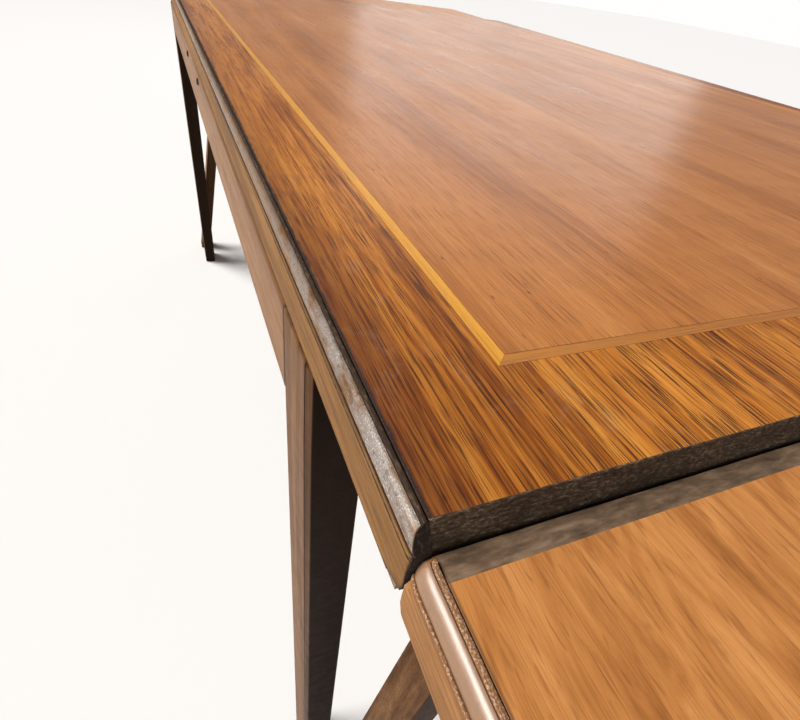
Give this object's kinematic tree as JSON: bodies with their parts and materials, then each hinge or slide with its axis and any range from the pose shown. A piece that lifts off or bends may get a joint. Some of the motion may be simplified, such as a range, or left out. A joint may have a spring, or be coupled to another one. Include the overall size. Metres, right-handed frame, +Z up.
{
  "type": "drop leaf table",
  "caption": "Rectangular drop leaf table with an inlaid line, hinged end leaves, flat rectangular tapered legs and swing gates that carry the raised leaves.",
  "frame": {"origin": "on the floor under the middle of the table", "axes": "+Z up, +Y along the table towards the far leaf, +X across it to the right"},
  "size_m": [1.0364, 2.4154, 0.74],
  "materials": {
    "top_veneer": "satin walnut veneer, orange-brown with dark grain",
    "leaf_veneer": "satin walnut veneer, a little lighter than the top",
    "inlay_wood": "golden yellow inlaid line, satin",
    "moulding_wood": "tan-brown worked moulding, worn and glossy on its round",
    "apron_wood": "pinkish tan stained rail, satin",
    "leg_wood": "grey-brown stained leg, satin",
    "inner_wood": "plain brown secondary wood, matt",
    "plug_wood": "dark plug, matt",
    "hinge_brass": "aged brass",
    "steel_fastener": "plain steel screws and pins"
  },
  "bodies": {
    "frame": {"bearer_screws": "steel_fastener", "corner_block_far_left": "inner_wood", "corner_block_far_right": "inner_wood", "corner_block_near_left": "inner_wood", "corner_block_near_right": "inner_wood", "corner_block_screws": "steel_fastener", "cross_rail_far": "inner_wood", "cross_rail_near": "inner_wood", "end_apron_far": "inner_wood", "end_apron_near": "inner_wood", "gate_block_screws": "steel_fastener", "gate_hinge_block_far_left": "inner_wood", "gate_hinge_block_far_right": "inner_wood", "gate_hinge_block_near_left": "inner_wood", "gate_hinge_block_near_right": "inner_wood", "gate_pins": "steel_fastener", "hinge_pins": "hinge_brass", "hinge_screws_top": "steel_fastener", "inlay_line_far": "inlay_wood", "inlay_line_left": "inlay_wood", "inlay_line_near": "inlay_wood", "inlay_line_right": "inlay_wood", "leg_far_left": "leg_wood", "leg_far_right": "leg_wood", "leg_near_left": "leg_wood", "leg_near_right": "leg_wood", "rail_screw_plugs": "plug_wood", "rail_screws": "steel_fastener", "side_apron_left": "apron_wood", "side_apron_right": "apron_wood", "top_bearer_left": "inner_wood", "top_bearer_right": "inner_wood", "top_board": "top_veneer", "top_hinge_plates_far": "hinge_brass", "top_hinge_plates_near": "hinge_brass", "top_lipping_left": "moulding_wood", "top_lipping_right": "moulding_wood"},
    "leaf_near": {"leaf_board_near": "leaf_veneer", "leaf_gate_stops_near": "inner_wood", "leaf_hinge_plates_near": "hinge_brass", "leaf_hinge_screws_near": "steel_fastener", "leaf_lipping_end_near": "moulding_wood", "leaf_lipping_left_near": "moulding_wood", "leaf_lipping_right_near": "moulding_wood"},
    "leaf_far": {"leaf_board_far": "leaf_veneer", "leaf_gate_stops_far": "inner_wood", "leaf_hinge_plates_far": "hinge_brass", "leaf_hinge_screws_far": "steel_fastener", "leaf_lipping_end_far": "moulding_wood", "leaf_lipping_left_far": "moulding_wood", "leaf_lipping_right_far": "moulding_wood"},
    "gate_far_right": {"gate_leg_far_right": "leg_wood", "gate_rail_far_right": "inner_wood"},
    "gate_far_left": {"gate_leg_far_left": "leg_wood", "gate_rail_far_left": "inner_wood"},
    "gate_near_right": {"gate_leg_near_right": "leg_wood", "gate_rail_near_right": "inner_wood"},
    "gate_near_left": {"gate_leg_near_left": "leg_wood", "gate_rail_near_left": "inner_wood"}
  },
  "joints": [
    {"name": "leaf_near_hinge", "type": "hinge", "parent": "frame", "child": "leaf_near", "pos_m": [0, -0.848, 0.708], "axis": [-1, 0, 0], "range_deg": [-90, 0]},
    {"name": "leaf_far_hinge", "type": "hinge", "parent": "frame", "child": "leaf_far", "pos_m": [0, 0.848, 0.708], "axis": [1, 0, 0], "range_deg": [-90, 0]},
    {"name": "gate_far_right_swing", "type": "hinge", "parent": "frame", "child": "gate_far_right", "pos_m": [0.1837, 0.797, 0.68], "axis": [0, 0, 1], "range_deg": [0, 85]},
    {"name": "gate_far_left_swing", "type": "hinge", "parent": "frame", "child": "gate_far_left", "pos_m": [-0.1837, 0.797, 0.68], "axis": [0, 0, -1], "range_deg": [0, 85]},
    {"name": "gate_near_right_swing", "type": "hinge", "parent": "frame", "child": "gate_near_right", "pos_m": [0.1837, -0.797, 0.68], "axis": [0, 0, -1], "range_deg": [0, 85]},
    {"name": "gate_near_left_swing", "type": "hinge", "parent": "frame", "child": "gate_near_left", "pos_m": [-0.1837, -0.797, 0.68], "axis": [0, 0, 1], "range_deg": [0, 85]}
  ]
}
